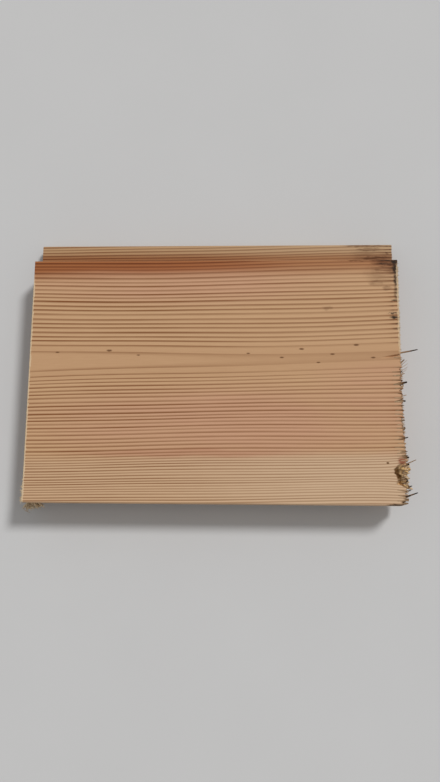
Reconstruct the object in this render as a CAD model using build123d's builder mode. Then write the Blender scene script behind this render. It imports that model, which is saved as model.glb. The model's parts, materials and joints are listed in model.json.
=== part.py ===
"""Offcut of a lap-jointed softwood cladding board, lying on its back with its face up.

X runs along the grain, +Y points to the rear lip and +Z points out of the face.
The origin is on the back, under the middle of the board. Lengths are in millimetres.
"""
import os

from build123d import *

# Stock that the board was machined from
board_length = 197.0
board_thickness = 21.0

# Section: the face, and the rear lip that a neighbouring board laps over
face_width = 131.0
lip_reach = 14.0
lip_thickness = 7.2

# Room that the rear rebate leaves around a neighbour's lip
lap_height_clearance = 0.6
lap_face_gap = 2.0

# Eased corners of the machined section, and the small radius that the cutter leaves in its steps
face_edge_radius = 0.8
lip_tip_radius = 1.2
back_edge_radius = 0.5
step_radius = 0.6

# Chip torn out of the face at the +X end, placed by its distance from the face's lower edge
chip_start = 8.8
chip_width = 13.6
chip_length = 6.4
chip_depth = 4.2

# Splinter broken off the face's lower corner at the same end
corner_width = 3.2
corner_length = 2.6
corner_depth = 5.0

# Ragged floor of a torn hollow, as shares of its width and depth, and its size at the inner wall
hollow_floor = [(0.14, 0.70), (0.46, 1.00), (0.78, 0.62)]
inner_width_share = 0.62
inner_depth_share = 0.55

# How far a cutter passes the surface that it opens
overrun = 2.0

# Places that follow from the sizes above
overall_width = face_width + lip_reach
lip_tip_y = overall_width / 2
face_low_y = -overall_width / 2
shoulder_y = face_low_y + face_width
rebate_y = face_low_y + lip_reach - lap_face_gap
rebate_height = lip_thickness + lap_height_clearance
end_x = board_length / 2

# Corners of the section, in order round it, each with its radius
section_corners = [
    ((rebate_y, 0), back_edge_radius),
    ((lip_tip_y, 0), back_edge_radius),
    ((lip_tip_y, lip_thickness), lip_tip_radius),
    ((shoulder_y, lip_thickness), step_radius),
    ((shoulder_y, board_thickness), face_edge_radius),
    ((face_low_y, board_thickness), face_edge_radius),
    ((face_low_y, rebate_height), back_edge_radius),
    ((rebate_y, rebate_height), step_radius),
]


def hollow_outline(x, middle_y, width, depth):
    """Ragged outline of a torn hollow on the plane across the grain at x."""
    low_y = middle_y - width / 2
    floor = [(low_y + along * width, board_thickness - down * depth) for along, down in hollow_floor]
    top_z = board_thickness + overrun
    with BuildSketch(Plane.YZ.offset(x)) as outline:
        with BuildLine():
            Polyline(
                (low_y, top_z),
                (low_y, board_thickness),
                *floor,
                (low_y + width, board_thickness),
                (low_y + width, top_z),
                close=True,
            )
        make_face()
    return outline.sketch


def torn_hollow(middle_y, width, length, depth):
    """Cutter for wood torn out of the face at the +X end: steep at its inner wall, deepest at the end."""
    mouth_growth = 1 + overrun / length
    width_loss = width * (1 - inner_width_share)
    depth_loss = depth * (1 - inner_depth_share)
    inner_width = width - width_loss
    inner_depth = depth - depth_loss
    inner_wall = hollow_outline(end_x - length, middle_y, inner_width, inner_depth)
    mouth = hollow_outline(
        end_x + overrun,
        middle_y,
        inner_width + width_loss * mouth_growth,
        inner_depth + depth_loss * mouth_growth,
    )
    with BuildPart() as hollow:
        loft([inner_wall, mouth], ruled=True)
    return hollow.part


chip_cutter = torn_hollow(face_low_y + chip_start + chip_width / 2, chip_width, chip_length, chip_depth)
corner_cutter = torn_hollow(face_low_y, 2 * corner_width, corner_length, corner_depth)

with BuildPart() as cladding_board:
    with BuildSketch(Plane.YZ.offset(-end_x)):
        with BuildLine():
            FilletPolyline(
                *[place for place, radius in section_corners],
                radius=[radius for place, radius in section_corners],
                close=True,
            )
        make_face()
    extrude(amount=board_length)
    add([chip_cutter, corner_cutter], mode=Mode.SUBTRACT)

cladding_board.part.label = "cladding_board"
os.makedirs("parts", exist_ok=True)
export_step(cladding_board.part, "parts/cladding_board.step")
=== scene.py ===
"""Looks of the cladding board offcut: growth rings, torn end, splinters and stains, with a plain stage.

Lengths are in millimetres until a mesh is made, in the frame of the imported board:
X along the grain, +Y to the rear lip, +Z out of the face, origin on the back under the middle.
"""
import json
import math

import bpy
import numpy as np
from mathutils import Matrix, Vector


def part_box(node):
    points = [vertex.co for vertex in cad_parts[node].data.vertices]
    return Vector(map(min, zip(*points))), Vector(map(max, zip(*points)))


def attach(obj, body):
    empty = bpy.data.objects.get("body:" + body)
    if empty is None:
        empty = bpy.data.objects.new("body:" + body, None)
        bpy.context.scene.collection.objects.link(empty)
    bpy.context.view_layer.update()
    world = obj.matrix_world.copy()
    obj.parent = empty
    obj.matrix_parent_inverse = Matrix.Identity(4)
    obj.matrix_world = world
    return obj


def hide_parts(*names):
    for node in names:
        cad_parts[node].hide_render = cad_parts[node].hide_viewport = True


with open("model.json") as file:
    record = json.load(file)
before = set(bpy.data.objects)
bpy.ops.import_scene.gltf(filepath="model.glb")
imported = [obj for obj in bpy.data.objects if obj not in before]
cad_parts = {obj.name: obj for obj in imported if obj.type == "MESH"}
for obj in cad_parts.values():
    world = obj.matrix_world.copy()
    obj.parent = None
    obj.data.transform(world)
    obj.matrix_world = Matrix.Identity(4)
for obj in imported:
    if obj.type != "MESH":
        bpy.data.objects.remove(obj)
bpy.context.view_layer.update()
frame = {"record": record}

METRES = 0.001
random = np.random.default_rng(7)

# Board section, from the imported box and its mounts
box_low, box_high = (np.array(corner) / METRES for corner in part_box("cladding_board"))
mount_place = {m["name"]: np.array(m["pos_m"]) / METRES for m in frame["record"]["mounts"]}
END_X = float(box_high[0])
FACE_Z = float(box_high[2])
LOW_Y = float(box_low[1])
TIP_Y = float(box_high[1])
LIP_Z = float(mount_place["lip_face"][2])
REBATE_Z = float(mount_place["rebate_face"][2])
LIP_REACH = 14.0
REBATE_REACH = 12.0
SHOULDER_Y = TIP_Y - LIP_REACH
REBATE_Y = LOW_Y + REBATE_REACH
FACE_EDGE_RADIUS = 0.8
LIP_TIP_RADIUS = 1.2
BACK_EDGE_RADIUS = 0.5

# Torn end: where the fibres start to give way, and the outline that they stand out to, as (y, x)
TORN_DEPTH = 7.0
TORN_ABOVE_Y = 5.5
TORN_OUTLINE = [
    (-72.5, 98.7), (-69.0, 99.2), (-55.0, 99.6), (-48.5, 99.9), (-46.7, 99.3),
    (-45.0, 98.8), (-39.0, 98.7), (-20.0, 98.4), (4.0, 98.2),
]

# Hollow of the knot that broke out of the torn end: its inner wall, as (y, x), and its depth
KNOT_WALL = [
    (-64.4, 99.6), (-63.0, 96.4), (-61.4, 94.9), (-59.5, 94.4), (-57.1, 93.7),
    (-54.7, 93.4), (-52.4, 94.5), (-51.3, 96.6), (-50.6, 99.6),
]
KNOT_Y = -57.0
KNOT_HALF_WIDTH = 6.9
KNOT_DEPTH = 2.4
KNOT_LOW_FADE = (-65.0, -61.0)
KNOT_TOP_FADE = (-50.4, -55.0)

# The broken corner beside it, the crack in the end, as (x, y), and how far down a hollow pulls the wood
CORNER_DEPTH = 4.5
CRACK_DEPTH = 1.3
CRACK_HALF_WIDTH = 0.5
SINKING_DEPTH = 11.0
CRACK_START = (87.2, 4.0)
CRACK_END = (98.5, 6.0)

# Growth rings: the pith runs inside the board, and the tree grew faster on the lip's side of it
PITH_Y = 2.4
PITH_Z = 12.3
PITH_RISE = 1.6
RING_WIDTH = 2.27
OUTER_RADIUS = 61.5
OUTER_RING_WIDTH = 1.65


def smooth_step(low, high, value):
    """0 below low, 1 above high and a smooth rise between; low may be the greater."""
    share = np.clip((value - low) / (high - low), 0.0, 1.0)
    return share * share * (3.0 - 2.0 * share)


def lattice(i, j, seed):
    """A repeatable random number from 0 to 1 for each pair of whole numbers."""
    mixed = np.sin(i * 127.1 + j * 311.7 + seed * 74.7) * 43758.5453
    return mixed - np.floor(mixed)


def value_noise(a, b, seed):
    """Smooth random field from 0 to 1 over two coordinates, one cell per unit."""
    i, j = np.floor(a), np.floor(b)
    u, v = smooth_step(0.0, 1.0, a - i), smooth_step(0.0, 1.0, b - j)
    low = lattice(i, j, seed) * (1 - u) + lattice(i + 1, j, seed) * u
    high = lattice(i, j + 1, seed) * (1 - u) + lattice(i + 1, j + 1, seed) * u
    return low * (1 - v) + high * v


def spaced(breaks, step):
    """Grid lines through every break, about a step apart between them."""
    lines = [breaks[0]]
    for start, stop in zip(breaks, breaks[1:]):
        count = max(1, round((stop - start) / step))
        lines.extend(start + (stop - start) * (k + 1) / count for k in range(count))
    return np.array(lines)


def make_object(name, points, faces, material):
    """A mesh piece from points in millimetres, riding on the board's body."""
    mesh = bpy.data.meshes.new(name)
    mesh.from_pydata((np.asarray(points) * METRES).tolist(), [], faces)
    mesh.validate()
    mesh.materials.append(material)
    piece = bpy.data.objects.new(name, mesh)
    bpy.context.scene.collection.objects.link(piece)
    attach(piece, "root")
    return piece


def add_values(piece, name, values):
    """Gives each point of a piece a number that its material reads by name."""
    layer = piece.data.attributes.new(name, "FLOAT", "POINT")
    layer.data.foreach_set("value", np.asarray(values, np.float32))


def round_corner(y, z, corner_y, corner_z, inward_y, inward_z, radius):
    """Moves the points of a square corner onto an arc of that radius."""
    centre_y, centre_z = corner_y + inward_y * radius, corner_z + inward_z * radius
    off_y, off_z = y - centre_y, z - centre_z
    inside = (off_y * inward_y <= 0) & (off_z * inward_z <= 0)
    inside &= (np.abs(off_y) <= radius * 1.001) & (np.abs(off_z) <= radius * 1.001)
    reach = np.hypot(off_y, off_z)
    square_reach = np.maximum(np.abs(off_y), np.abs(off_z))
    shrink = np.where(reach > 0, square_reach / np.maximum(reach, 1e-9), 1.0)
    y = np.where(inside, centre_y + off_y * shrink, y)
    z = np.where(inside, centre_z + off_z * shrink, z)
    return y, z


def growth(x, y, z, sine, root):
    """Years grown at each place, its distance from the pith, and the same stretched on the slow side.

    The grain rises towards the torn end, most of all near the pith, and parts round the knot.
    """
    # Lift of the grain along the board
    share = x * (0.5 / END_X) + 0.5
    middle = (y + 7.0) * (1 / 17.0)
    rise = 2.9 / (middle * middle + 1.0) + 2.1
    upper = (y + 4.0) * (1 / 12.0)
    bend = 0.5 * upper / root(upper * upper + 1.0) + 0.5
    lift = rise * (share * (bend * (share - 1.0) + 1.0) - 0.35)

    # Parting round the knot, and a slow wander
    knot_x = (x - 99.0) * (1 / 8.0)
    knot_y = (y - KNOT_Y) * (1 / 7.5)
    near_knot = knot_x * knot_x + knot_y * knot_y + 1.0
    parting = 2.4 * knot_y / (near_knot * near_knot)
    wander = 0.45 * sine(x * 0.021 + y * 0.05) + 0.22 * sine(x * 0.047 - y * 0.09 + 1.0)

    # Distance from the pith, then years, which are thinner past the outer radius
    off_y = y - lift - parting + wander - PITH_Y
    off_z = z - PITH_Z - PITH_RISE * (share - 1.0) * (share - 1.0)
    radius = root(off_y * off_y + off_z * off_z)
    grown = 1.1 * radius - 0.1 * off_y
    past = grown - OUTER_RADIUS + 4.75 * (off_y / (radius + 0.1) + 1.0)
    fine = 0.5 * (past + root(past * past + 1.0))
    years = (grown - fine) * (1 / RING_WIDTH) + fine * (1 / OUTER_RING_WIDTH)
    years = years + 0.07 * sine(years * 1.9) + 0.12 * sine(years * 0.61 + 2.0) + 0.65
    return years, radius, grown


def latewood(x, y, z):
    """How near each place is to the dark, hard end of a year's ring."""
    years = growth(x, y, z, np.sin, np.sqrt)[0]
    age = years - np.floor(years)
    return smooth_step(0.42, 0.84, age) - smooth_step(0.93, 1.0, age)


def into_knot(x, y):
    """How far each place is inside the ragged wall of the broken-out knot."""
    wall_y, wall_x = np.array(KNOT_WALL).T
    ragged = 1.3 * (value_noise(y / 1.1, y * 0, 3) - 0.5)
    return np.where((y > wall_y[0]) & (y < wall_y[-1]), x - np.interp(y, wall_y, wall_x) - ragged, -9.0)


def hollow_depth(x, y):
    """How far the face has sunk at each place: broken-out knot, broken corner and end crack."""
    inside = into_knot(x, y)
    fibres = value_noise((0.8 * x + 0.6 * y) / 3.2, (0.8 * y - 0.6 * x) / 0.75, 11)
    uneven = 0.40 + 0.55 * fibres + 0.45 * smooth_step(3.2, 1.2, inside)
    depth = KNOT_DEPTH * uneven * smooth_step(0.0, 0.9, inside)
    depth = depth * smooth_step(*KNOT_TOP_FADE, y) * smooth_step(*KNOT_LOW_FADE, y)
    corner = smooth_step(3.4, 0.4, (END_X - x) + 0.9 * (y - LOW_Y) + 1.2 * value_noise(x, y, 5))
    depth = np.maximum(depth, CORNER_DEPTH * corner)
    along = (x - CRACK_START[0]) / (CRACK_END[0] - CRACK_START[0])
    crack_y = CRACK_START[1] + (CRACK_END[1] - CRACK_START[1]) * along
    crack = smooth_step(CRACK_HALF_WIDTH, 0.1, np.abs(y - crack_y)) * smooth_step(0.0, 0.8, along)
    return np.maximum(depth, CRACK_DEPTH * crack)


def torn_reach(y, z):
    """How far the torn end stands out (+) or has broken back (-); hard latewood stands longest."""
    torn = smooth_step(TORN_ABOVE_Y + 2.5, TORN_ABOVE_Y - 2.5, y)
    outline = np.interp(y, *np.array(TORN_OUTLINE).T) - END_X
    outline = outline * smooth_step(2.0, 18.0, z)
    bundles = value_noise(y / 1.7, z / 4.5, 21) * 0.65 + value_noise(y / 0.7, z / 2.0, 22) * 0.35
    teeth = 0.9 * latewood(END_X, y, z) + 2.6 * bundles - 1.9
    straight = 0.35 * (value_noise(y / 2.2, z / 3.0, 23) - 0.5)
    return straight * (1 - torn) + torn * (outline + teeth)


# Spacing of the board's grid lines: close where the wood is torn, wide elsewhere
FINE_X_STEP = 0.36
WIDE_X_STEP = 6.0
FINE_Y_STEP = 0.30
WIDE_Y_STEP = 0.60
Z_STEP = 0.75
BESIDE_EDGE = 0.3
FINE_BEFORE_TEAR = 7.0
SHARP_DEGREES = 38.0


def grid_lines():
    """Where the board's grid lines lie along x, y and z, with one at every edge of its section."""
    near = BESIDE_EDGE
    fine_start = END_X - TORN_DEPTH - FINE_BEFORE_TEAR
    x_lines = spaced([-END_X, -END_X + near, -END_X + 2.1, fine_start], WIDE_X_STEP)
    x_lines = np.concatenate([x_lines[:-1], spaced([fine_start, END_X], FINE_X_STEP)])
    fine_top = TORN_ABOVE_Y + 3.0
    y_lines = spaced([LOW_Y, LOW_Y + near, LOW_Y + FACE_EDGE_RADIUS, REBATE_Y, fine_top], FINE_Y_STEP)
    upper_breaks = [
        fine_top, SHOULDER_Y - FACE_EDGE_RADIUS, SHOULDER_Y - near, SHOULDER_Y,
        TIP_Y - LIP_TIP_RADIUS, TIP_Y - near, TIP_Y,
    ]
    y_lines = np.concatenate([y_lines[:-1], spaced(upper_breaks, WIDE_Y_STEP)])
    z_breaks = [
        0, near, BACK_EDGE_RADIUS, LIP_Z - LIP_TIP_RADIUS, LIP_Z - near, LIP_Z, REBATE_Z,
        REBATE_Z + BACK_EDGE_RADIUS, FACE_Z - FACE_EDGE_RADIUS, FACE_Z - near, FACE_Z,
    ]
    return x_lines, y_lines, spaced(z_breaks, Z_STEP)


def section_cells(y_lines, z_lines):
    """The grid cells that the board's section fills, each as its four corners in order."""
    y_middle = (y_lines[:-1] + y_lines[1:]) / 2
    z_middle = (z_lines[:-1] + z_lines[1:]) / 2
    cell_y, cell_z = np.meshgrid(y_middle, z_middle, indexing="ij")
    in_front_lip = (cell_y < REBATE_Y) & (cell_z > REBATE_Z)
    in_rear_lip = (cell_y > SHOULDER_Y) & (cell_z < LIP_Z)
    in_body = (cell_y > REBATE_Y) & (cell_y < SHOULDER_Y)
    filled = in_front_lip | in_rear_lip | in_body
    rows = len(z_lines)
    return [
        (i * rows + j, (i + 1) * rows + j, (i + 1) * rows + j + 1, i * rows + j + 1)
        for i, j in zip(*np.nonzero(filled))
    ]


def swept_skin(x_lines, y_lines, z_lines):
    """Points and faces of one closed skin: the section's cells at both ends, and its rim swept between."""
    cells = section_cells(y_lines, z_lines)
    edges = [edge for cell in cells for edge in zip(cell, cell[1:] + cell[:1])]
    known = set(edges)
    rim_edges = [(a, b) for a, b in edges if (b, a) not in known]
    grid_y, grid_z = (grid.ravel() for grid in np.meshgrid(y_lines, z_lines, indexing="ij"))
    used = sorted({corner for cell in cells for corner in cell})
    rim = sorted({corner for edge in rim_edges for corner in edge})

    points, rings = [], []
    last = len(x_lines) - 1
    for k, x in enumerate(x_lines):
        kept = used if k in (0, last) else rim
        rings.append({corner: len(points) + n for n, corner in enumerate(kept)})
        points.extend((x, grid_y[corner], grid_z[corner]) for corner in kept)
    faces = [tuple(rings[0][corner] for corner in reversed(cell)) for cell in cells]
    faces += [tuple(rings[last][corner] for corner in cell) for cell in cells]
    for here, after in zip(rings, rings[1:]):
        faces += [(here[a], here[b], after[b], after[a]) for a, b in rim_edges]
    return np.array(points), faces


def eased_corners(y, z):
    """The section's points with its square corners rounded."""
    for corner_y, corner_z, inward_y, inward_z, radius in (
        (LOW_Y, FACE_Z, 1, -1, FACE_EDGE_RADIUS),
        (SHOULDER_Y, FACE_Z, -1, -1, FACE_EDGE_RADIUS),
        (TIP_Y, LIP_Z, -1, -1, LIP_TIP_RADIUS),
        (TIP_Y, 0.0, -1, 1, BACK_EDGE_RADIUS),
        (REBATE_Y, 0.0, 1, 1, BACK_EDGE_RADIUS),
        (LOW_Y, REBATE_Z, 1, 1, BACK_EDGE_RADIUS),
    ):
        y, z = round_corner(y, z, corner_y, corner_z, inward_y, inward_z, radius)
    return y, z


def knot_shares(x, y, z):
    """How much of each place is the knot's dark lining, and how much is wood that the break bared."""
    inside = into_knot(x, y) + 0.7 * (value_noise(x / 0.9, y / 0.9, 8) - 0.5)
    at_face = smooth_step(FACE_Z - 9.0, FACE_Z - 5.0, z)
    crescent = smooth_step(5.5, 1.5, np.abs(y - KNOT_Y - 0.8))
    inner_rim = smooth_step(1.0 + 2.0 * crescent, 0.6 + 1.3 * crescent, inside)
    lining = at_face * smooth_step(-0.4, 0.1, inside) * inner_rim
    lining = lining * smooth_step(-64.0, -61.0, y) * (0.3 + 0.7 * crescent)
    bared = at_face * smooth_step(0.3, 1.1, inside)
    return lining, bared


def board_mesh(material):
    """The board: its section swept along the grain, sunk at the knot and torn at one end."""
    points, faces = swept_skin(*grid_lines())
    x, y, z = points.T
    y, z = eased_corners(y, z)
    lining, bared = knot_shares(x, y, z)
    sinking = FACE_Z - SINKING_DEPTH
    upper = np.clip((z - sinking) / (FACE_Z - sinking), 0, 1) ** 1.4
    z = z - hollow_depth(x, y) * upper
    giving = np.clip((x - (END_X - TORN_DEPTH)) / TORN_DEPTH, 0, 1) ** 2
    x = x + giving * torn_reach(y, z)

    board = make_object("board", np.stack([x, y, z], axis=1), faces, material)
    board.data.shade_smooth()
    board.data.set_sharp_from_angle(angle=math.radians(SHARP_DEGREES))
    add_values(board, "lining", lining)
    add_values(board, "bared", bared)
    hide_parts("cladding_board")
    return board


class Wire:
    """A node's output that takes part in plain sums."""

    def __init__(self, graph, socket):
        self.graph = graph
        self.socket = socket

    def __add__(self, other):
        return self.graph.math("ADD", self, other)

    def __sub__(self, other):
        return self.graph.math("SUBTRACT", self, other)

    def __mul__(self, other):
        return self.graph.math("MULTIPLY", self, other)

    def __truediv__(self, other):
        return self.graph.math("DIVIDE", self, other)

    def __rsub__(self, other):
        return self.graph.math("SUBTRACT", other, self)

    def __rtruediv__(self, other):
        return self.graph.math("DIVIDE", other, self)

    __radd__ = __add__
    __rmul__ = __mul__


class Graph:
    """Short names for adding and wiring the nodes of one material."""

    def __init__(self, name):
        self.material = bpy.data.materials.new(name)
        self.material.use_nodes = True
        self.tree = self.material.node_tree
        self.shader = self.tree.nodes["Principled BSDF"]

    def feed(self, socket, value):
        if isinstance(value, Wire):
            self.tree.links.new(value.socket, socket)
        else:
            socket.default_value = value

    def add(self, kind, inputs=(), output=0, **settings):
        node = self.tree.nodes.new(kind)
        for key, value in settings.items():
            setattr(node, key, value)
        for socket, value in inputs:
            self.feed(node.inputs[socket], value)
        return Wire(self, node.outputs[output])

    def shade(self, **inputs):
        for name, value in inputs.items():
            self.feed(self.shader.inputs[name.replace("_", " ")], value)

    def place(self):
        """Place on the piece in millimetres."""
        place = self.add("ShaderNodeTexCoord", output="Object")
        return self.vector("MULTIPLY", place, (1 / METRES,) * 3)

    def value(self, name):
        return self.add("ShaderNodeAttribute", output="Fac", attribute_name=name)

    def split(self, vector):
        return [self.add("ShaderNodeSeparateXYZ", [(0, vector)], axis) for axis in "XYZ"]

    def math(self, operation, *values):
        return self.add("ShaderNodeMath", enumerate(values), operation=operation)

    def sine(self, value):
        return self.math("SINE", value)

    def root(self, value):
        return self.math("SQRT", value)

    def vector(self, operation, *values):
        output = "Value" if operation == "LENGTH" else "Vector"
        return self.add("ShaderNodeVectorMath", enumerate(values), output, operation=operation)

    def ease(self, low, high, value, to_low=0.0, to_high=1.0):
        """Smooth rise from to_low at low to to_high at high."""
        inputs = [("Value", value), ("From Min", low), ("From Max", high)]
        inputs += [("To Min", to_low), ("To Max", to_high)]
        return self.add("ShaderNodeMapRange", inputs, "Result", interpolation_type="SMOOTHSTEP")

    def noise(self, place, scale, detail=2.0, output="Fac"):
        """Noise over the place, with a number of cells for each millimetre along x, y and z."""
        inputs = [("Vector", self.vector("MULTIPLY", place, scale)), ("Scale", 1.0), ("Detail", detail)]
        return self.add("ShaderNodeTexNoise", inputs, output)

    def random_for(self, value):
        return self.add("ShaderNodeTexWhiteNoise", [("W", value)], "Value", noise_dimensions="1D")

    def mix(self, share, first, second, blend="MIX"):
        """The second colour blended over the first by a share."""
        node = self.tree.nodes.new("ShaderNodeMix")
        node.data_type = "RGBA"
        node.blend_type = blend
        sockets = {socket.name: socket for socket in node.inputs if socket.enabled}
        self.feed(sockets["Factor"], share)
        for name, colour in (("A", first), ("B", second)):
            self.feed(sockets[name], colour if isinstance(colour, Wire) else (*colour, 1.0))
        return Wire(self, next(socket for socket in node.outputs if socket.enabled))

    def spots(self, place, spots):
        """Greatest of many soft oval spots, each (centre, half sizes, strength)."""
        total = 0.0
        for centre, half, strength in spots:
            scale = tuple(1.0 / size for size in half)
            shift = tuple(-middle / size for middle, size in zip(centre, half))
            reach = self.vector("LENGTH", self.vector("MULTIPLY_ADD", place, scale, shift))
            total = self.math("MAXIMUM", total, self.ease(1.0, 0.35, reach, 0.0, strength))
        return total

    def warped(self, place, cells, amount):
        """The place moved to and fro, for outlines that wander."""
        shift = self.noise(place, (cells,) * 3, 3.0, "Color")
        half = tuple(-0.5 * size for size in amount)
        return self.vector("ADD", place, self.vector("MULTIPLY_ADD", shift, amount, half))


# Colours, as the share of light that the bare wood gives back
EARLY_PINK = (0.614, 0.349, 0.213)
EARLY_YELLOW = (0.612, 0.378, 0.208)
EARLY_PALE = (0.668, 0.468, 0.300)
LATE_BROWN = (0.225, 0.082, 0.024)
ROSE = (0.520, 0.250, 0.150)
FRAYED = (0.740, 0.570, 0.370)
TORN_TAN = (0.840, 0.590, 0.310)
TORN_BROWN = (0.480, 0.260, 0.090)
KNOT_BROWN = (0.125, 0.052, 0.010)
FLECK_BROWN = (0.150, 0.066, 0.024)
FIBRE_BROWN = (0.185, 0.088, 0.034)
STRAW_DULL = (0.500, 0.320, 0.170)
STRAW_BRIGHT = (0.740, 0.570, 0.380)
PALE_DULL = (0.620, 0.450, 0.260)
PALE_BRIGHT = (0.820, 0.680, 0.480)
GOLD_DULL = (0.520, 0.290, 0.100)
GOLD_BRIGHT = (0.860, 0.610, 0.310)
SOOT_AND_SHADE_BLACK = (0.018, 0.010, 0.005)

# Tints that the wood's own colour is multiplied by
RED_HEART = (0.560, 0.295, 0.145)
LIP_TINT = (0.800, 0.760, 0.680)
END_TINT = (0.560, 0.500, 0.430)
STAIN_AND_SHADE_TINT = (0.240, 0.150, 0.085)
RED_STAIN_TINT = (0.500, 0.250, 0.200)
PITH_TINT = (0.880, 0.830, 0.800)

# Greys that the fibres shade the wood with, and the colours of the stage
DARK_GREY = (0.25, 0.25, 0.25)
PALE_GREY = (0.75, 0.75, 0.75)
FLOOR_DARK = (0.610, 0.610, 0.610)
FLOOR_PALE = (0.640, 0.640, 0.640)
ROOM_LIGHT = (0.385, 0.380, 0.375)
BACKDROP = (0.535, 0.530, 0.525)

# Zones and spots: centre, half sizes and strength; a fleck has only (x, y) and its size
PINK_ZONES = [
    ((5.0, -31.0, 10.0), (130.0, 29.0, 60.0), 0.95),
    ((-25.0, 46.0, 10.0), (120.0, 17.0, 60.0), 0.80),
    ((92.0, -47.5, FACE_Z), (13.0, 5.0, 20.0), 1.0),
    ((96.0, -17.0, FACE_Z), (60.0, 27.0, 20.0), 1.0),
]
ROSY_SPOTS = [
    ((-15.0, -46.5, FACE_Z), (80.0, 3.0, 9.0), 0.55),
]
FLECKS = [
    ((-83.6, 7.1), 1.0), ((-55.7, 8.1), 1.3), ((18.5, 6.6), 0.9), ((36.3, 4.4), 1.0),
    ((46.7, 9.0), 1.2), ((55.5, 1.7), 0.9), ((62.9, 6.2), 1.1), ((75.5, 11.2), 1.3),
    ((84.2, 4.4), 1.1), ((-40.0, 5.6), 0.8),
]
PIN_KNOT_SPOTS = [
    ((90.1, -50.9, FACE_Z), (0.95, 0.7, 2.0), 0.97),
]
RED_STAIN_SPOTS = [
    ((97.6, -49.7, FACE_Z), (3.0, 3.0, 5.0), 0.95),
]
SOOT_SPOTS = [
    ((97.0, 57.2, FACE_Z), (2.6, 2.4, 7.0), 0.98),
    ((97.1, 53.2, FACE_Z), (1.9, 4.0, 7.0), 0.92),
    ((97.3, 47.5, FACE_Z), (1.5, 5.0, 6.0), 0.90),
    ((97.2, 40.0, FACE_Z), (1.7, 6.0, 6.0), 0.45),
    ((93.0, 58.2, FACE_Z - 1), (7.0, 0.9, 5.0), 0.85),
    ((92.0, 56.0, FACE_Z), (5.0, 0.7, 5.0), 0.75),
    ((96.0, 26.2, FACE_Z), (3.4, 1.1, 4.0), 0.97),
    ((95.4, 28.6, FACE_Z), (3.8, 0.7, 4.0), 0.85),
    ((96.6, 35.6, FACE_Z), (2.4, 0.7, 4.0), 0.75),
    ((98.8, -70.6, FACE_Z - 1), (2.2, 1.8, 5.0), 0.92),
    ((93.6, -72.4, FACE_Z - 0.2), (5.6, 1.0, 1.7), 0.90),
]
STAIN_AND_SHADE_SPOTS = [
    ((84.0, 72.0, LIP_Z), (16.0, 1.5, 5.0), 0.75),
    ((86.0, 69.4, LIP_Z), (10.0, 1.4, 3.0), 0.60),
    ((95.6, 67.0, LIP_Z), (1.8, 1.2, 3.0), 0.80),
    # Darker band on the lip beside the shoulder: partly stain, partly painted shade
    ((90.0, 64.2, LIP_Z), (13.0, 2.0, 3.0), 0.85),
    ((96.0, 55.0, FACE_Z), (4.5, 6.0, 8.0), 0.92),
    ((84.0, 58.2, FACE_Z), (22.0, 1.1, 6.0), 0.85),
    ((91.0, 56.6, FACE_Z), (9.0, 2.6, 6.0), 0.85),
    ((92.0, 53.2, FACE_Z), (9.0, 2.6, 6.0), 0.72),
    ((90.0, 50.5, FACE_Z), (11.0, 9.0, 6.0), 0.36),
    ((87.0, 65.5, LIP_Z), (16.0, 6.0, 4.0), 0.36),
    ((87.6, 45.4, FACE_Z), (6.0, 2.6, 3.0), 0.55),
    ((92.5, 42.6, FACE_Z), (3.6, 1.8, 3.0), 0.50),
    ((60.4, 31.4, FACE_Z), (3.4, 1.9, 3.0), 0.38),
    ((97.6, -71.0, FACE_Z - 2), (2.6, 2.8, 5.0), 1.0),
    ((93.4, -72.4, FACE_Z - 1), (5.4, 1.1, 2.4), 1.0),
]


def edge_face_shares(g, y, z):
    """Where the long edge faces are: all of them together, and the shoulder above the lip alone."""
    shoulder = g.ease(0.6, 0.1, g.math("ABSOLUTE", y - SHOULDER_Y))
    shoulder = shoulder * g.ease(LIP_Z + 0.4, LIP_Z + 0.9, z)
    rebate = g.ease(0.6, 0.1, g.math("ABSOLUTE", y - REBATE_Y))
    rebate = rebate * g.ease(REBATE_Z - 0.4, REBATE_Z - 0.9, z)
    outer_edges = g.ease(LOW_Y + 0.6, LOW_Y + 0.1, y) + g.ease(TIP_Y - 0.6, TIP_Y - 0.1, y)
    return outer_edges + shoulder + rebate, shoulder


def latewood_lines(g, place, years, radius, grown, edge_faces):
    """How dark the latewood is: it deepens towards the end of each year, then stops at once."""
    x, y = g.split(place)[:2]
    ring = g.math("FLOOR", years)
    age = g.math("FRACT", years)
    thinner = g.ease(17.0, 9.5, radius, 0.0, 0.20)
    late = g.math("MAXIMUM", g.ease(0.36, 0.78, age - thinner) - g.ease(0.95, 1.0, age), 0.0)

    # Some years show more than others, and all of them vary from place to place
    strength = g.random_for(ring) * 0.46 + 0.62
    at_pith = g.ease(-20.0, 60.0, x, 1.0, 0.62)
    strength = strength * g.ease(8.0, 22.0, radius, at_pith, 1.0)
    strength = strength * g.ease(0.3, 0.7, g.noise(place, (0.02, 0.3, 0.3)), 0.82, 1.08)
    strength = strength * g.ease(-60.0, 70.0, x, 0.92, 0.71)
    strength = strength * (1.0 - edge_faces * 0.5)
    strength = strength * (g.ease(89.0, 98.0, x) * g.ease(-56.0, -46.0, y) * 0.35 + 1.0)
    strength = strength * (1.0 - g.ease(57.0, 66.0, grown) * g.ease(-60.0, 70.0, x, 0.0, 0.16))
    return g.math("MINIMUM", late * strength, 1.0)


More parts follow.
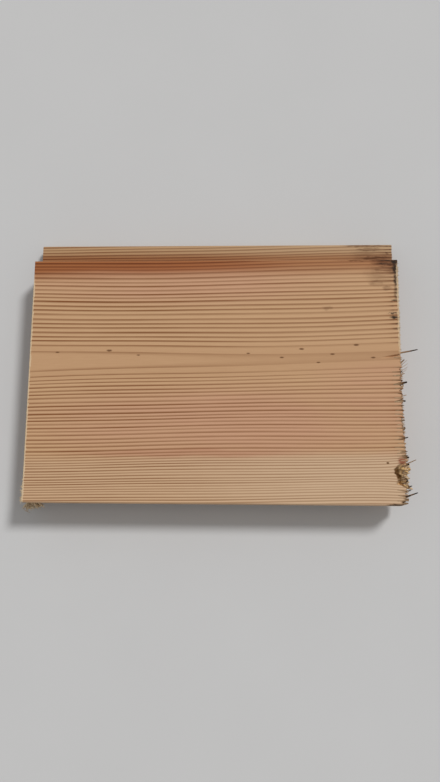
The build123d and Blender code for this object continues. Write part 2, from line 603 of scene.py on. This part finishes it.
def earlywood(g, place, radius, grown):
    """Colour between the lines: pinker in zones, paler where the rings are fine, duller at the pith."""
    x = g.split(place)[0]
    clouds = g.ease(0.30, 0.62, g.noise(place, (0.012, 0.07, 0.07), 3.0), 0.45, 1.1)
    pinker = g.spots(place, PINK_ZONES) * clouds
    early = g.mix(pinker, EARLY_YELLOW, EARLY_PINK)
    early = g.mix(g.ease(57.0, 66.0, grown) * g.ease(-60.0, 80.0, x, 0.45, 1.0), early, EARLY_PALE)
    early = g.mix(g.ease(15.0, 9.0, radius, 0.0, 0.6), early, PITH_TINT, "MULTIPLY")
    rosy_place = g.warped(place, 0.05, (0.0, 3.0, 0.0))
    return g.mix(g.spots(rosy_place, ROSY_SPOTS), early, ROSE)


def red_heart(g, place, shoulder):
    """How strongly the red heartwood shows: a band along the lip's side, fainter towards the torn end."""
    x, y = g.split(place)[:2]
    flow = y - x * 0.018 + g.noise(place, (0.012, 0.22, 0.22), 3.0) * 5.0 - 2.5
    heart = g.ease(47.0, 55.0, flow) * g.ease(69.0, 64.5, y) * g.ease(-20.0, 75.0, x, 0.93, 0.66)
    return heart * (1.0 - shoulder * 0.4) * g.ease(SHOULDER_Y, SHOULDER_Y + 0.6, y, 1.0, 0.8)


def with_bare_ends(g, place, colour):
    """The colour with both ends bare: open pores drink in grime, and torn wood stays pale."""
    x, y = g.split(place)[:2]
    normal_x = g.math("ABSOLUTE", g.split(g.add("ShaderNodeNewGeometry", output="Normal"))[0])
    pores = g.noise(place, (2.2, 2.2, 2.2))
    bare_end = g.ease(0.55, 0.9, normal_x) * g.ease(0.3, 0.7, pores, 0.45, 0.95)
    torn_off = g.ease(TORN_ABOVE_Y + 1.5, TORN_ABOVE_Y - 1.5, y) * g.ease(END_X - 12.0, END_X - 8.0, x)
    colour = g.mix(bare_end * (1.0 - torn_off * 0.75), colour, END_TINT, "MULTIPLY")
    return g.mix(bare_end * torn_off * 0.55, colour, FRAYED)


def with_knot(g, place, colour):
    """The colour with the broken-out knot: pale torn wood behind a dark lining."""
    x = g.split(place)[0]
    streak = g.noise(g.vector("MULTIPLY", place, (1.0, 1.0, 0.4)), (0.9, 1.1, 1.0), 3.0)
    torn = g.mix(g.ease(0.48, 0.66, streak), TORN_TAN, TORN_BROWN)
    torn = g.mix(g.ease(END_X - 0.8, END_X + 0.6, x) * 0.7, torn, FRAYED)
    colour = g.mix(g.value("bared") * 0.9, colour, torn)
    return g.mix(g.value("lining") * 0.95, colour, KNOT_BROWN)


def with_dirt_and_shade(g, place, colour, late):
    """The colour with flecks, pin knot, stains, soot and a painted shade on the lip beside the shoulder,
    their outlines wandering.
    """
    x, y = g.split(place)[:2]
    fine_place = g.warped(place, 1.6, (0.8, 0.3, 0.3))
    flecks = [((fx, fy, FACE_Z), (1.5 * size, 0.6 * size, 2.0), 0.90) for (fx, fy), size in FLECKS]
    colour = g.mix(g.spots(fine_place, flecks), colour, FLECK_BROWN)
    colour = g.mix(g.spots(fine_place, PIN_KNOT_SPOTS), colour, KNOT_BROWN)
    rough_place = g.warped(place, 0.35, (6.0, 2.4, 2.4))
    streaks = g.ease(0.36, 0.60, g.noise(place, (0.14, 1.1, 1.1), 4.0), 0.45, 1.0)
    # Stains, and the painted shade on the lip beside the shoulder
    colour = g.mix(g.spots(rough_place, STAIN_AND_SHADE_SPOTS) * streaks, colour, STAIN_AND_SHADE_TINT, "MULTIPLY")
    colour = g.mix(g.spots(fine_place, RED_STAIN_SPOTS), colour, RED_STAIN_TINT, "MULTIPLY")
    sooty_place = g.warped(place, 0.8, (1.6, 1.4, 1.4))
    grit = g.ease(0.30, 0.46, g.noise(place, (0.9, 0.9, 0.9), 3.0), 0.25, 1.0)
    colour = g.mix(g.spots(sooty_place, SOOT_SPOTS) * grit, colour, SOOT_AND_SHADE_BLACK)
    patchy = g.ease(0.40, 0.60, g.noise(place, (0.30, 0.16, 0.16)), 0.10, 1.0)
    dirty_lines = late * patchy * g.ease(92.5, 97.0, x) * g.ease(8.0, 16.0, y)
    return g.mix(dirty_lines * 0.65, colour, SOOT_AND_SHADE_BLACK)


def with_frayed_arrises(g, place, colour):
    """The colour with pale frays on the sawn arris, and on the other one above the tear."""
    x, y, z = g.split(place)
    ragged = g.noise(place, (0.8, 0.75, 0.55), 3.0)
    sawn = g.math("LESS_THAN", x, ragged * 1.6 - (END_X + 0.15)) * g.ease(52.0, 44.0, y)
    upper = g.math("GREATER_THAN", x, ragged * 1.8 + (END_X - 1.75))
    upper = upper * g.ease(5.0, 9.0, y) * g.ease(57.0, 54.0, y)
    at_face = g.ease(FACE_Z - 1.8, FACE_Z - 0.5, z + ragged * 1.2 - 0.6)
    frayed = g.math("MAXIMUM", sawn, upper * 0.8) * at_face
    return g.mix(frayed * 0.75, colour, FRAYED)


def wood_material():
    """Softwood as a solid: growth rings about the pith, with tints, flecks, stains and bare ends."""
    g = Graph("softwood")
    place = g.place()
    x, y, z = g.split(place)
    years, radius, grown = growth(x, y, z, g.sine, g.root)

    # The long edge faces run along the rings and cut them where they swell: a flame figure
    edge_faces, shoulder = edge_face_shares(g, y, z)
    swelling = g.noise(place, (0.008, 0.10, 0.16), 2.0)
    years = years + edge_faces * swelling * 7.0

    late = latewood_lines(g, place, years, radius, grown, edge_faces)
    fibre = g.noise(place, (0.10, 3.2, 3.2), 3.0)
    colour = g.mix(late, earlywood(g, place, radius, grown), LATE_BROWN)
    colour = g.mix(red_heart(g, place, shoulder), colour, RED_HEART, "MULTIPLY")
    on_lip = g.ease(58.4, 59.0, y) * g.ease(9.0, 7.5, z)
    colour = g.mix(on_lip, colour, LIP_TINT, "MULTIPLY")
    colour = g.mix(0.35, colour, g.mix(fibre, DARK_GREY, PALE_GREY), "SOFT_LIGHT")
    colour = with_bare_ends(g, place, colour)
    colour = with_knot(g, place, colour)
    colour = with_dirt_and_shade(g, place, colour, late)
    colour = with_frayed_arrises(g, place, colour)

    height = late * 0.7 + fibre * 0.8
    bump = g.add("ShaderNodeBump", [("Strength", 0.5), ("Distance", 0.00008), ("Height", height)])
    roughness = g.ease(0.2, 0.8, fibre, 0.60, 0.78)
    g.shade(Base_Color=colour, Roughness=roughness, Normal=bump, Specular_IOR_Level=0.2)
    return g.material


def fibre_material(name, dull, bright):
    """Torn fibres: pale when clean; a dark one is brown with a black tip, partly dirt and partly painted
    shade.
    """
    g = Graph(name)
    along, dirt_and_shade = g.value("along"), g.value("dirt_and_shade")
    streak = g.noise(g.place(), (0.5, 6.0, 6.0))
    colour = g.mix(streak, dull, bright)
    # Browner fibres with black tips: partly dirt, partly painted shade on the thin splinters
    colour = g.mix(dirt_and_shade * g.ease(0.0, 0.7, along, 0.5, 1.0), colour, FIBRE_BROWN)
    colour = g.mix(g.ease(0.55, 0.90, dirt_and_shade) * g.ease(0.55, 0.85, along), colour, SOOT_AND_SHADE_BLACK)
    g.shade(Base_Color=colour, Roughness=g.ease(0.2, 0.8, streak, 0.65, 0.85), Specular_IOR_Level=0.2)
    return g.material


class Slivers:
    """Many thin tapered slivers of wood, gathered into one mesh."""

    def __init__(self):
        self.points, self.faces, self.along, self.dirt_and_shade = [], [], [], []

    def add(self, root, tip, width, dirt_and_shade, bow=(0.0, 0.0, 0.0)):
        """One sliver from root to tip, bowed in its middle, with a flat four-sided section."""
        root, tip, bow = np.array(root, float), np.array(tip, float), np.array(bow, float)
        run = tip - root
        side = np.cross(run, (0.0, 0.0, 1.0))
        side = side / max(np.linalg.norm(side), 1e-9)
        up = np.cross(side, run)
        up = up / max(np.linalg.norm(up), 1e-9)
        start = len(self.points)
        stages = ((0.0, 1.0), (0.35, 0.9), (0.7, 0.72), (0.95, 0.55))
        for share, size in stages:
            centre = root + run * share + bow * (4 * share * (1 - share))
            for across, rise in ((1, 0), (0, 0.45), (-1, 0), (0, -0.45)):
                self.points.append(centre + (side * across + up * rise) * width * size / 2)
                self.along.append(share)
                self.dirt_and_shade.append(dirt_and_shade)
        self.points.append(tip)
        self.along.append(1.0)
        self.dirt_and_shade.append(dirt_and_shade)
        for stage in range(len(stages) - 1):
            low = start + 4 * stage
            for k in range(4):
                n = (k + 1) % 4
                self.faces.append((low + k, low + 4 + k, low + 4 + n, low + n))
        low = start + 4 * (len(stages) - 1)
        self.faces.extend((low + (k + 1) % 4, low + k, len(self.points) - 1) for k in range(4))
        self.faces.append((start, start + 1, start + 2, start + 3))

    def make(self, name, material):
        above_floor = 0.02
        points = np.maximum(self.points, (-np.inf, -np.inf, above_floor))
        piece = make_object(name, points, self.faces, material)
        add_values(piece, "along", self.along)
        add_values(piece, "dirt_and_shade", self.dirt_and_shade)
        piece.data.shade_smooth()
        return piece


# The splinters that stand out of the torn end: root, tip, width, and how dark, which is partly dirt and
# partly painted shade
LONG_SPLINTERS = [
    ((95.0, 6.7, 19.9), (107.8, 8.9, 20.6), 1.00, 0.86),
    ((97.0, 0.3, 20.4), (100.4, 3.4, 21.0), 1.00, 0.70),
    ((98.0, -0.1, 20.3), (101.9, 3.1, 21.0), 0.28, 0.50),
    ((98.4, -1.2, 20.3), (102.2, 1.3, 21.0), 0.28, 0.40),
    ((98.6, -2.8, 20.3), (102.0, -0.5, 21.0), 0.28, 0.50),
    ((98.8, -4.0, 20.3), (101.6, -1.6, 21.0), 0.28, 0.40),
    ((95.5, -5.9, 20.8), (100.4, -4.0, 21.1), 0.70, 0.60),
    ((94.5, -9.9, 20.7), (101.5, -8.7, 21.1), 1.60, 1.00),
    ((97.2, -12.2, 20.6), (99.6, -10.4, 21.1), 1.30, 0.50),
    ((96.5, -16.6, 20.7), (100.9, -15.5, 21.1), 0.60, 0.60),
    ((93.8, -19.2, 20.8), (98.6, -17.7, 21.1), 0.60, 0.70),
    ((96.4, -18.2, 20.7), (100.3, -18.8, 21.1), 1.40, 0.90),
    ((97.4, -33.8, 20.4), (99.7, -32.6, 21.0), 1.80, 0.75),
    ((94.8, -39.0, 20.8), (101.0, -37.6, 21.2), 0.90, 0.95),
    ((95.0, -45.3, 20.6), (100.4, -45.0, 21.1), 0.80, 0.75),
    ((96.2, -46.5, 20.6), (99.8, -47.0, 21.1), 0.70, 0.70),
    ((97.4, -47.7, 20.7), (101.1, -48.0, 21.2), 1.30, 1.00),
    ((98.4, -51.7, 20.2), (104.7, -49.1, 20.8), 0.65, 0.65),
    ((97.4, -52.4, 20.2), (101.1, -51.4, 20.9), 1.30, 0.90),
    ((96.6, -60.0, 19.0), (101.2, -58.5, 20.4), 1.10, 0.95),
    ((97.0, -61.2, 19.2), (100.4, -59.8, 20.4), 1.20, 0.95),
    ((97.4, -63.8, 19.9), (102.2, -62.4, 20.6), 0.90, 0.95),
    ((97.6, -65.4, 20.1), (101.5, -64.7, 20.7), 0.90, 0.85),
    ((97.0, -68.4, 20.1), (105.0, -65.8, 20.8), 0.95, 1.00),
    ((97.2, -68.6, 19.9), (101.3, -67.2, 20.7), 1.30, 0.85),
    ((95.8, -70.0, 19.7), (100.4, -69.3, 20.4), 1.30, 0.70),
    ((96.2, -71.6, 18.6), (100.2, -71.2, 19.6), 1.20, 0.80),
]


def ring_ends():
    """Where the dark lines of the face reach the torn end, as y."""
    y = np.arange(LOW_Y + 0.6, TORN_ABOVE_Y, 0.02)
    years = growth(END_X, y, FACE_Z, np.sin, np.sqrt)[0] + 0.15
    return y[1:][np.diff(np.floor(years)) != 0]


def splinters(material):
    """Splinters placed one by one, a dark tooth on each hard ring, and fine hairs all over that end."""
    slivers = Slivers()
    for root, tip, width, dirt_and_shade in LONG_SPLINTERS:
        slivers.add(root, tip, width, dirt_and_shade, bow=(0.0, -0.02 * (tip[0] - root[0]), 0.15))
    outline = np.array(TORN_OUTLINE).T
    for y in ring_ends():
        if KNOT_WALL[0][0] < y < KNOT_WALL[-1][0]:
            continue
        edge = np.interp(y, *outline)
        tip = (edge + random.uniform(0.0, 1.3), y + random.normal(0.15, 0.35), FACE_Z + 0.1)
        root = (edge - random.uniform(3.0, 5.0), y, FACE_Z - 0.1)
        slivers.add(root, tip, random.uniform(0.5, 0.9), random.uniform(0.35, 0.9))
    for y in np.arange(LOW_Y + 0.4, TORN_ABOVE_Y, 0.3):
        edge = np.interp(y, *outline)
        for z in random.uniform(FACE_Z - 6.0, FACE_Z - 0.1, 3):
            root = (edge - 2.0, y + random.normal(0, 0.2), z - 0.1)
            tip_x = edge + random.uniform(0.2, 1.5)
            tip_y = y + random.uniform(-0.4, 1.3)
            tip = (tip_x, tip_y, z + random.normal(0.1, 0.25))
            slivers.add(root, tip, random.uniform(0.14, 0.36), random.uniform(0, 0.55))
    for y in np.arange(LOW_Y + 13.0, TIP_Y - 0.5, 0.8):
        top = FACE_Z if y < SHOULDER_Y else LIP_Z
        for z in random.uniform(0.5, top - 0.5, 4):
            tip_x = END_X + random.uniform(-0.1, 0.7)
            tip = (tip_x, y + random.normal(0, 0.4), z + random.normal(0, 0.3))
            slivers.add((END_X - 1.6, y, z), tip, random.uniform(0.2, 0.5), random.uniform(0, 0.5))
    for y in np.arange(TORN_ABOVE_Y + 2.0, SHOULDER_Y - 1.0, 0.3):
        root = (END_X - random.uniform(0.6, 2.0), y, FACE_Z - 0.12)
        tip_x = END_X + random.uniform(-0.3, 0.8)
        tip = (tip_x, y + random.normal(0, 0.5), FACE_Z + random.uniform(-0.5, 0.15))
        slivers.add(root, tip, random.uniform(0.15, 0.40), random.choice([0.0, 0.0, 0.2, 0.6]))
    return slivers.make("splinters", material)


def knot_fibres(name, material, count, start_x):
    """Torn fibres left standing in the hollow of the broken-out knot, most leaning to the lip's side."""
    slivers = Slivers()
    for k in range(count):
        y = random.uniform(KNOT_Y - KNOT_HALF_WIDTH + 0.6, KNOT_Y + KNOT_HALF_WIDTH - 2.0)
        start = start_x + random.uniform(-1.0, 1.0)
        floor = FACE_Z - KNOT_DEPTH + random.uniform(0.4, 1.6)
        lean = random.uniform(0.6, 3.0) if k % 3 else random.uniform(-2.2, -0.4)
        top = min(floor + random.uniform(0.6, 2.0), FACE_Z - 0.3)
        tip = (start + random.uniform(1.8, 3.4), y + lean, top)
        width = random.uniform(0.8, 1.8)
        dirt_and_shade = random.choice([0.0, 0.0, 0.0, 0.6])
        slivers.add((start, y, floor - 0.4), tip, width, dirt_and_shade)
    return slivers.make(name, material)


def frayed_arris(material):
    """Short pale fibres that the saw left along the face's sawn end, thickest at the lower corner."""
    slivers = Slivers()
    for y in np.arange(LOW_Y + 0.2, SHOULDER_Y - 12.0, 0.16):
        corner = float(smooth_step(LOW_Y + 16.0, LOW_Y + 4.0, np.array(y)))
        reach = random.uniform(-0.2, 0.25)
        reach = reach + corner * random.uniform(0.0, 2.0) * random.uniform(0.2, 1.0)
        root = (-END_X + random.uniform(0.3, 0.9), y, FACE_Z - 0.12)
        tip_y = y + random.normal(0, 0.35 + 0.5 * corner)
        tip = (-END_X - reach, tip_y, FACE_Z + random.uniform(-0.5, 0.15))
        slivers.add(root, tip, random.uniform(0.15, 0.4 + 0.35 * corner), 0.0)
    return slivers.make("frayed_arris", material)


def corner_flake(material):
    """Ragged flake that hangs from the lower edge at the sawn end: a tangle of fibres, held at its top."""
    slivers = Slivers()
    count = 120
    for k in range(count):
        share = random.uniform(0.0, 1.0)
        x = -END_X - 1.8 + 8.2 * share
        hang = random.uniform(0.6, 5.4) * (1 - 0.55 * share)
        dirt_and_shade = random.choice([0.0, 0.0, 0.0, 0.4])
        if k % 5 < 3:
            root = (max(x, 0.3 - END_X), LOW_Y + 0.5, random.uniform(8.2, 13.0))
            tip = (x + random.normal(-0.3, 1.6), LOW_Y - hang, random.uniform(3.0, 9.0))
        else:
            start_y = LOW_Y - 0.6 * hang + random.normal(0, 0.5)
            root = (x - random.uniform(0.5, 1.6), start_y, random.uniform(5.0, 9.0))
            tip_x = x + random.uniform(0.8, 2.2)
            tip = (tip_x, root[1] + random.normal(0, 0.9), root[2] + random.normal(0, 0.8))
        slivers.add(root, tip, random.uniform(0.25, 0.75), dirt_and_shade, bow=(0, 0, 0.6))
    return slivers.make("corner_flake", material)


def floor_material():
    """Pale matt table top with the faintest mottle."""
    g = Graph("pale_floor")
    mottle = g.noise(g.place(), (0.014, 0.014, 0.014), 4.0)
    colour = g.mix(mottle, FLOOR_DARK, FLOOR_PALE)
    g.shade(Base_Color=colour, Roughness=0.8, Specular_IOR_Level=0.1)
    return g.material


def add_floor():
    """A plain pale floor under the board, wide enough to fill every view."""
    half = 40.0
    top = -0.05 * METRES
    mesh = bpy.data.meshes.new("floor")
    corners = [(-half, -half, top), (half, -half, top), (half, half, top), (-half, half, top)]
    mesh.from_pydata(corners, [], [(0, 1, 2, 3)])
    mesh.materials.append(floor_material())
    floor = bpy.data.objects.new("floor", mesh)
    bpy.context.scene.collection.objects.link(floor)


def add_lights():
    """Plain studio light: a soft white lamp from the upper right, and an even pale room around it."""
    lamp = bpy.data.lights.new("lamp", "SUN")
    lamp.energy = 1.90
    lamp.angle = math.radians(12.0)
    holder = bpy.data.objects.new("lamp", lamp)
    toward_x, toward_y = 0.61, 0.643
    tilt = math.atan(math.hypot(toward_x, toward_y))
    holder.rotation_euler = (tilt, 0.0, math.atan2(toward_x, -toward_y))
    bpy.context.scene.collection.objects.link(holder)

    room = bpy.data.worlds.new("room")
    room.use_nodes = True
    tree = room.node_tree
    light = tree.nodes["Background"]
    light.inputs["Color"].default_value = (*ROOM_LIGHT, 1.0)
    backdrop = tree.nodes.new("ShaderNodeBackground")
    backdrop.inputs["Color"].default_value = (*BACKDROP, 1.0)
    seen = tree.nodes.new("ShaderNodeLightPath")
    choose = tree.nodes.new("ShaderNodeMixShader")
    shown = seen.outputs["Is Camera Ray"]
    for kind in ("Is Glossy Ray", "Is Transmission Ray"):
        either = tree.nodes.new("ShaderNodeMath")
        either.operation = "MAXIMUM"
        tree.links.new(shown, either.inputs[0])
        tree.links.new(seen.outputs[kind], either.inputs[1])
        shown = either.outputs[0]
    tree.links.new(shown, choose.inputs[0])
    tree.links.new(light.outputs[0], choose.inputs[1])
    tree.links.new(backdrop.outputs[0], choose.inputs[2])
    tree.links.new(choose.outputs[0], tree.nodes["World Output"].inputs["Surface"])
    bpy.context.scene.world = room


def add_camera():
    """The photograph's camera: almost straight above the face's lower edge."""
    lens = bpy.data.cameras.new("camera")
    lens.sensor_width = 36.0
    lens.lens = 33.15
    camera = bpy.data.objects.new("camera", lens)
    camera.location = (0.0188, -0.0794, 0.3937)
    camera.rotation_euler = (math.radians(10.01), math.radians(2.22), math.radians(0.55))
    bpy.context.scene.collection.objects.link(camera)
    bpy.context.scene.camera = camera


wood = wood_material()
fibre = fibre_material("torn_fibre", STRAW_DULL, STRAW_BRIGHT)
golden_fibre = fibre_material("knot_fibre", GOLD_DULL, GOLD_BRIGHT)
pale_fibre = fibre_material("pale_fibre", PALE_DULL, PALE_BRIGHT)
board_mesh(wood)
splinters(fibre)
knot_fibres("knot_fibres", golden_fibre, count=13, start_x=97.5)
knot_fibres("rim_fibres", fibre, count=12, start_x=98.4)
frayed_arris(pale_fibre)
corner_flake(pale_fibre)
add_floor()
add_lights()
add_camera()
bpy.context.scene.view_settings.view_transform = "Standard"
